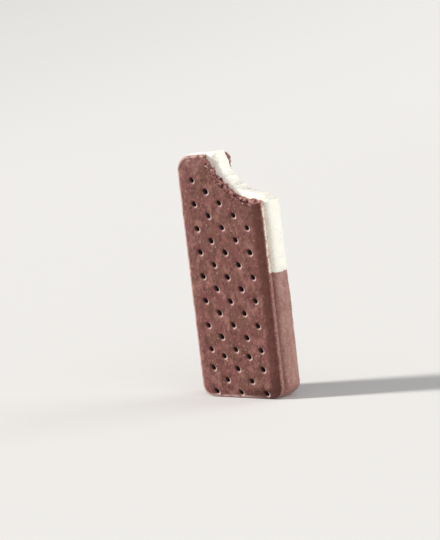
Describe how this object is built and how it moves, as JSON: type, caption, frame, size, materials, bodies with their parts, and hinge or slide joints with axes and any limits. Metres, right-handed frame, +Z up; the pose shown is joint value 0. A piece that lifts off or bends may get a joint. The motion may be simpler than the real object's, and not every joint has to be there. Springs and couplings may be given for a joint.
{
  "type": "ice cream sandwich",
  "caption": "Ice cream sandwich standing on its short end: docked chocolate wafers round vanilla and chocolate ice cream, with a bite out of one top corner.",
  "frame": {"origin": "middle of the foot, the short end that it stands on: the bottom centre of the bounding box", "axes": "+Z up, along the length; +X across the sandwich, towards the bitten corner; +Y from the front wafer to the back wafer"},
  "size_m": [0.0558, 0.0186, 0.1205],
  "materials": {
    "chocolate_wafer": "matte, baked, finely porous",
    "vanilla_ice_cream": "soft, faintly moist",
    "chocolate_ice_cream": "soft, faintly moist"
  },
  "bodies": {
    "root": {"wafer_front": "chocolate_wafer", "wafer_back": "chocolate_wafer", "ice_cream_vanilla": "vanilla_ice_cream", "ice_cream_chocolate": "chocolate_ice_cream"}
  },
  "joints": []
}
